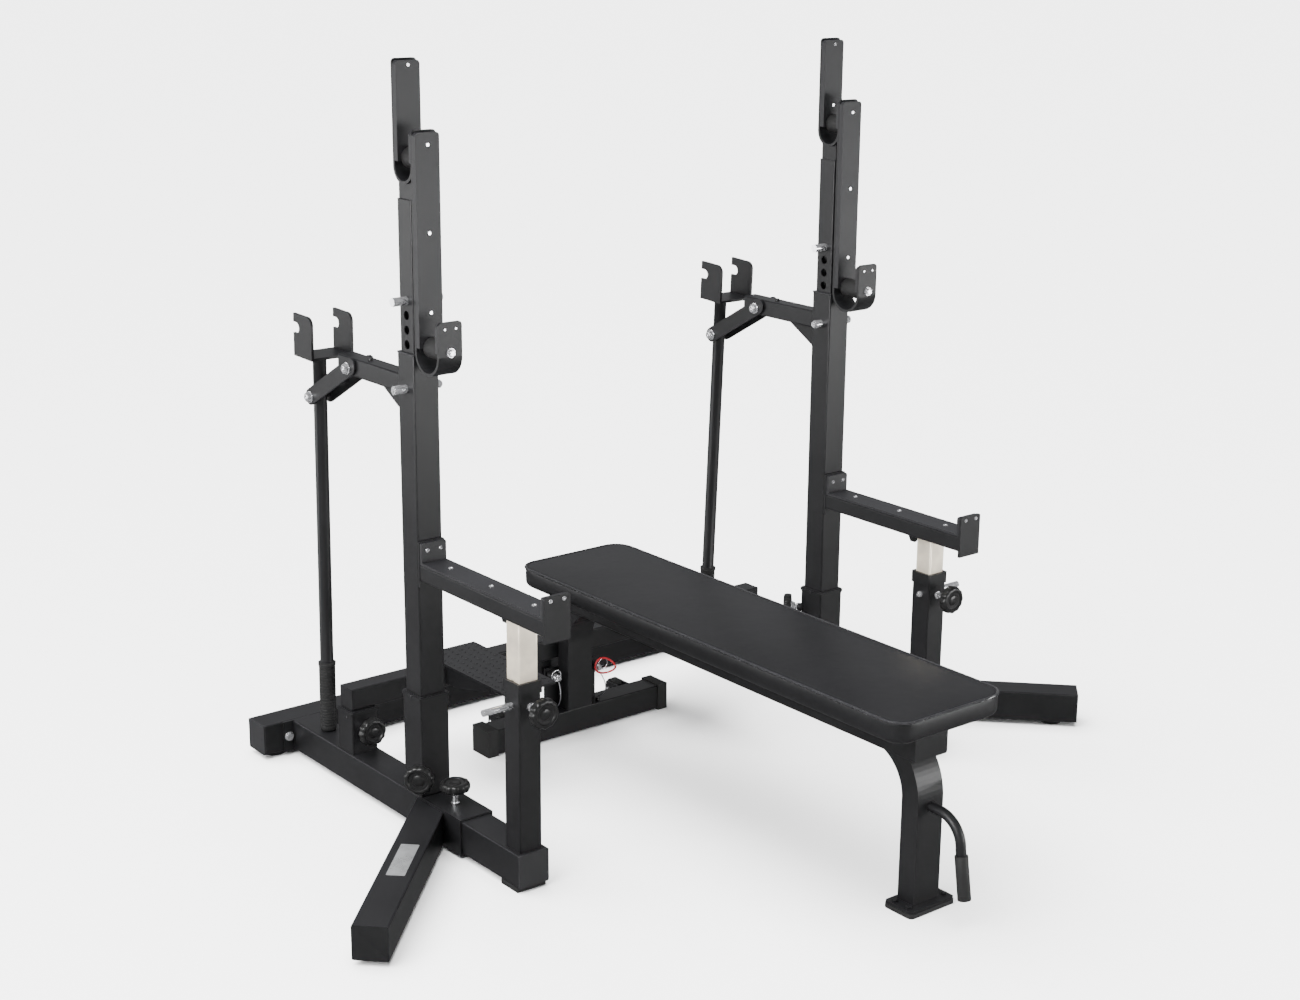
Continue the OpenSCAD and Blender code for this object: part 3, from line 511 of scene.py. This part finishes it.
def knobs():
    """Every knob stands where its CAD node's joint says, with its neck's foot on the tube it clamps."""
    head = 0.018
    for side, _ in SIDES:
        for kind, neck in (("platform", 0.022), ("post", 0.036), ("outrigger", 0.030)):
            low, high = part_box(f"{kind}_knob_{side}")
            joint = JOINTS[f"{kind}_knob_turn_{side}"]
            base = Vector([(a + b) / 2 for a, b in zip(low, high)])
            up = max(range(3), key=lambda k: abs(joint["axis"][k]))
            base[up] = high[up] - head - neck
            knob(f"{kind}_knob_{side}", base, joint["axis"], neck)
        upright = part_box(f"upright_{side}")
        gauge = (upright[0][1] + upright[1][1]) / 2
        for kind in ("upright", "inner"):
            joint = JOINTS[f"{kind}_knob_turn_{side}"]
            axis = Vector(joint["axis"])
            base = Vector((0, gauge, joint["pos_m"][2])) + axis * CORNER_BOSS
            knob(f"{kind}_knob_{side}", base, axis, CORNER_NECK)


# Jack levers ---------------------------------------------------------

LEVER_LEAN = {"left": 1.3, "right": 2.6}


def jack_details():
    """Ribbed grip on each lever's foot, leaning as the lever does, and the link's bolts."""
    rod_foot = 0.086
    ribs, grip_top, base = 22, 0.165, 0.0178
    for side, _ in SIDES:
        low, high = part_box(f"jack_lever_{side}")
        middle = (low[1] + high[1]) / 2
        pivot = Vector(JOINTS[f"jack_lever_swing_{side}"]["pos_m"])
        lean = Matrix.Rotation(math.radians(LEVER_LEAN[side]), 4, "Y")
        hang = Matrix.Translation((0, 0, rod_foot - pivot.z))
        place = Matrix.Translation((pivot.x, middle, pivot.z)) @ lean @ hang
        profile = [(0, -0.0004), (base * 0.8, -0.0004), (base, 0.003)]
        for k in range(ribs):
            step = (grip_top - 0.014) / ribs
            z = 0.006 + (grip_top - 0.014) * k / ribs
            profile += [(base + 0.0009, z + step * 0.2), (base + 0.0009, z + step * 0.7),
                        (base + 0.0001, z + step * 0.82), (base + 0.0001, z + step)]
        profile += [(base + 0.0022, grip_top - 0.006), (base + 0.0022, grip_top),
                    (base * 0.85, grip_top + 0.0012), (0, grip_top + 0.0012)]
        bm = bmesh.new()
        lathe(bm, profile, place, 40)
        piece(f"jack_grip_{side}", bm, "black_rubber", f"jack_lever_{side}")
        for joint in (f"jack_link_swing_{side}", f"jack_lever_swing_{side}"):
            pos = JOINTS[joint]["pos_m"]
            bm = bmesh.new()
            for t in (-1, 1):
                button_bolt(bm, (pos[0], middle + t * 0.0260, pos[2]), (0, t, 0), 0.0108, 0.0108)
            piece(f"{joint}_bolts", bm, "bright_steel", f"jack_link_{side}")


# Hooks, arms and small hardware --------------------------------------

def arm_screws():
    """Screws of the plastic strip and of the two end pads on each safety arm."""
    for side, _ in SIDES:
        low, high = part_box(f"safety_liners_{side}")
        middle = (low[1] + high[1]) / 2
        surface = low[2] + 0.005
        bm = bmesh.new()
        for x in (low[0] + 0.07, (low[0] + high[0]) / 2, high[0] - 0.07):
            screw(bm, (x, middle, surface - 0.0004), (0, 0, 1), 0.0055)
        for y in (-0.016, 0.016):
            screw(bm, (low[0] + 0.0078, middle + y, high[2] - 0.016), (1, 0, 0))
            screw(bm, (high[0] + 0.0058, middle + y, high[2] - 0.010), (1, 0, 0))
        piece(f"arm_screws_{side}", bm, "bright_steel", f"safety_{side}")


def hook_bolts():
    """Button bolts at the ends of the lower rollers' axles."""
    for side, _ in SIDES:
        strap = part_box(f"hook_strap_{side}")
        middle = (strap[0][1] + strap[1][1]) / 2
        joint = JOINTS[f"bench_roller_spin_{side}"]
        bm = bmesh.new()
        button_bolt(bm, (strap[1][0] - 0.0004, middle, joint["pos_m"][2]), (1, 0, 0),
                    0.0080, 0.0090)
        piece(f"hook_bolt_{side}", bm, "bright_steel", f"height_{side}")


def set_screws():
    """Small dark screws on the outer and inner faces of the sockets."""
    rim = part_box("tube_sockets")[1][2]
    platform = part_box("platform_beam")
    mid_x = (platform[0][0] + platform[1][0]) / 2
    bm = bmesh.new()
    for side, s in SIDES:
        low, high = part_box(f"upright_{side}")
        gauge = (abs(low[1]) + abs(high[1])) / 2
        for t in (-1, 1):
            screw(bm, (0, s * gauge + t * 0.0371, rim - 0.0055), (0, t, 0), 0.004, 0.002)
            screw(bm, (mid_x + 0.008, s * gauge + t * 0.0319, 0.166), (0, t, 0), 0.004, 0.002)
    piece("set_screws", bm, "black_plastic", FRAME_BODY)


def wheels():
    """Moulded transport wheels, and the nuts of their axles."""
    for side, _ in SIDES:
        low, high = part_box(f"transport_wheel_{side}")
        centre = Vector([(a + b) / 2 for a, b in zip(low, high)])
        radius = (high[2] - low[2]) / 2
        half = (high[1] - low[1]) / 2
        place = Matrix.Translation(centre) @ along((0, 1, 0))
        bm = bmesh.new()
        bore = 0.0052
        profile = [(bore, -half), (0.010, -half), (0.011, -half + 0.002),
                   (radius - 0.009, -half + 0.002), (radius - 0.007, -half),
                   (radius - 0.003, -half + 0.0005), (radius, -half + 0.004)]
        profile += [(r, -h) for r, h in profile[::-1]] + [(bore, -half)]
        lathe(bm, profile, place, 48)
        bmesh.ops.remove_doubles(bm, verts=bm.verts, dist=0.00001)
        obj = piece(f"wheel_tyre_{side}", bm, "black_rubber", f"transport_wheel_{side}")
        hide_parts(f"transport_wheel_{side}")
        bm = bmesh.new()
        for t in (-1, 1):
            hexagon(bm, centre + Vector((0, t * (half + 0.0072), 0)), (0, t, 0), 0.0068, 0.005)
        piece(f"wheel_nuts_{side}", bm, "bright_steel", FRAME_BODY)


def tread_plates():
    """Raised bars at alternate slants on the spotter plates."""
    low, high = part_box("spotter_footplates")
    bar = ((-1, 0), (-0.5, -1), (0.5, -1), (1, 0), (0.5, 1), (-0.5, 1))
    margin, pitch, length, width, rise = 0.012, 0.019, 0.0135, 0.0034, 0.0011
    for side, s in SIDES:
        inner, outer = 0.214, abs(high[1])
        bm = bmesh.new()
        columns = int((high[0] - low[0] - 2 * margin) / pitch)
        rows = int((outer - inner - 2 * margin) / pitch)
        for i in range(columns + 1):
            for j in range(rows + 1):
                x = low[0] + margin + i * (high[0] - low[0] - 2 * margin) / columns
                y = s * (inner + margin + j * (outer - inner - 2 * margin) / rows)
                turn = math.radians(45 if (i + j) % 2 else -45)
                place = Matrix.Translation((x, y, high[2])) @ Matrix.Rotation(turn, 4, "Z")
                base = [bm.verts.new(place @ Vector((length / 2 * a, width / 2 * b, -0.0002)))
                        for a, b in bar]
                top = [bm.verts.new(place @ Vector((length / 2 * a * 0.7, width / 2 * b * 0.45, rise)))
                       for a, b in bar]
                for k in range(6):
                    bm.faces.new((base[k], base[(k + 1) % 6], top[(k + 1) % 6], top[k]))
                bm.faces.new(top)
                bm.faces.new(base[::-1])
        piece(f"tread_{side}", bm, "black_powder_coat", FRAME_BODY)


def label_plate():
    """Blank silver plate on top of the left outrigger's leg."""
    angle = math.radians(-44.5)
    centre = Vector((0.262, -0.799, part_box("side_tubes")[1][2]))
    place = Matrix.Translation(centre) @ Matrix.Rotation(angle, 4, "Z")
    outline = rounded_outline(-0.070, 0.070, 0.019, 0.002, 0)
    bm = bmesh.new()
    ring_loft(bm, [[place @ Vector((p.x, p.y, z)) for p in outline] for z in (-0.0002, 0.0006)])
    piece("blank_plate", bm, "silver_film", "outrigger_left")


def pull_loop():
    """Red pull loop that hangs askew from the right dock pin's ring."""
    centre = Vector((-0.217, 0.073, 0.154))
    across = Vector((0.25, 0.93, -0.27)).normalized()
    upward = Vector((0.05, 0.27, 0.96)).normalized()
    count, half_width, half_height, cord_radius = 48, 0.027, 0.018, 0.0024
    path = []
    for k in range(count):
        a = 2 * math.pi * k / count
        point = 1 - 0.30 * math.cos(a)
        path.append(centre + across * half_width * math.cos(a)
                    + upward * half_height * point * math.sin(a))
    bm = bmesh.new()
    tube_along(bm, path, cord_radius, 10, closed=True)
    piece("red_pull_loop", bm, "red_plastic", "dock_pin_right")


def bench_bolts():
    """Painted bolts of the front foot plate."""
    bm = bmesh.new()
    for x, y in ((0.893, -0.05), (0.931, -0.05), (0.893, 0.05), (0.931, 0.05)):
        hexagon(bm, (x, y, 0.0148), (0, 0, 1), 0.0065, 0.005)
    piece("foot_plate_bolts", bm, "black_powder_coat", FRAME_BODY)


# Stage ---------------------------------------------------------------

def light(name, position, target, size, power):
    data = bpy.data.lights.new(name, "AREA")
    data.shape = "RECTANGLE"
    data.size, data.size_y = size
    data.energy = power
    obj = bpy.data.objects.new(name, data)
    obj.visible_camera = False
    bpy.context.scene.collection.objects.link(obj)
    direction = Vector(target) - Vector(position)
    turn = direction.to_track_quat("-Z", "Y").to_matrix().to_4x4()
    obj.matrix_world = Matrix.Translation(position) @ turn


def studio():
    """Pale floor inside a pale round backdrop, a broad overhead light and four soft lamps."""
    half, reach = 60, 50
    bm = bmesh.new()
    bm.faces.new([bm.verts.new((half * x, half * y, 0))
                  for x, y in ((-1, -1), (1, -1), (1, 1), (-1, 1))])
    mats["pale_floor"] = material("pale_floor", (0.9, 0.9, 0.9), 0.85, wear=0.03, spread=0.005,
                                  grain=60, bump=0.0)
    floor = finish_mesh("floor", bm, "pale_floor")
    floor.visible_glossy = False
    glow = bpy.data.materials.new("backdrop_glow")
    glow.use_nodes = True
    shader = glow.node_tree.nodes["Principled BSDF"]
    shader.inputs["Base Color"].default_value = (0, 0, 0, 1)
    shader.inputs["Specular IOR Level"].default_value = 0
    shader.inputs["Emission Color"].default_value = (1, 1, 1, 1)
    shader.inputs["Emission Strength"].default_value = 4.6
    mats["backdrop_glow"] = glow
    wall = bmesh.new()
    ring_loft(wall, [[Vector((reach * math.cos(a), reach * math.sin(a), z))
                      for a in (math.radians(5 * k) for k in range(72))] for z in (-1, 2 * reach)])
    backdrop = finish_mesh("backdrop", wall, "backdrop_glow")
    backdrop.visible_diffuse = backdrop.visible_glossy = backdrop.visible_shadow = False
    world = bpy.data.worlds.new("studio")
    world.use_nodes = True
    sky = world.node_tree.nodes["Background"]
    sky.inputs["Color"].default_value = (0.95, 0.96, 0.98, 1)
    sky.inputs["Strength"].default_value = 0.25
    bpy.context.scene.world = world
    overhead = bpy.data.lights.new("overhead", "SUN")
    overhead.energy = 17
    overhead.angle = math.radians(75)
    obj = bpy.data.objects.new("overhead", overhead)
    obj.rotation_euler = (math.radians(14), math.radians(-10), 0)
    obj.visible_glossy = False
    bpy.context.scene.collection.objects.link(obj)
    light("key", (1.2, -4.6, 2.6), (0.2, 0, 0.6), (2.8, 1.8), 300)
    light("front", (3.6, 2.2, 0.6), (0.2, -0.5, 0.3), (2.8, 1.1), 110)
    light("left", (-3.2, -3.8, 0.7), (0, 0.2, 0.4), (2.4, 1.2), 55)
    light("sheen", (-4.0, 3.2, 2.6), (0.2, 0, 0.5), (3.6, 1.6), 5)


camera()
mats = make_materials()
lanyards()
REPLACED = {"bench_pad", "pin_lanyards"}
REPLACED |= {f"{kind}_{side}" for side, _ in SIDES
             for kind in ("upright_knob", "inner_knob", "platform_knob", "post_knob",
                          "outrigger_knob", "transport_wheel")}
dress_nodes(REPLACED)
pad()
knobs()
jack_details()
arm_screws()
hook_bolts()
set_screws()
wheels()
tread_plates()
label_plate()
pull_loop()
bench_bolts()
studio()
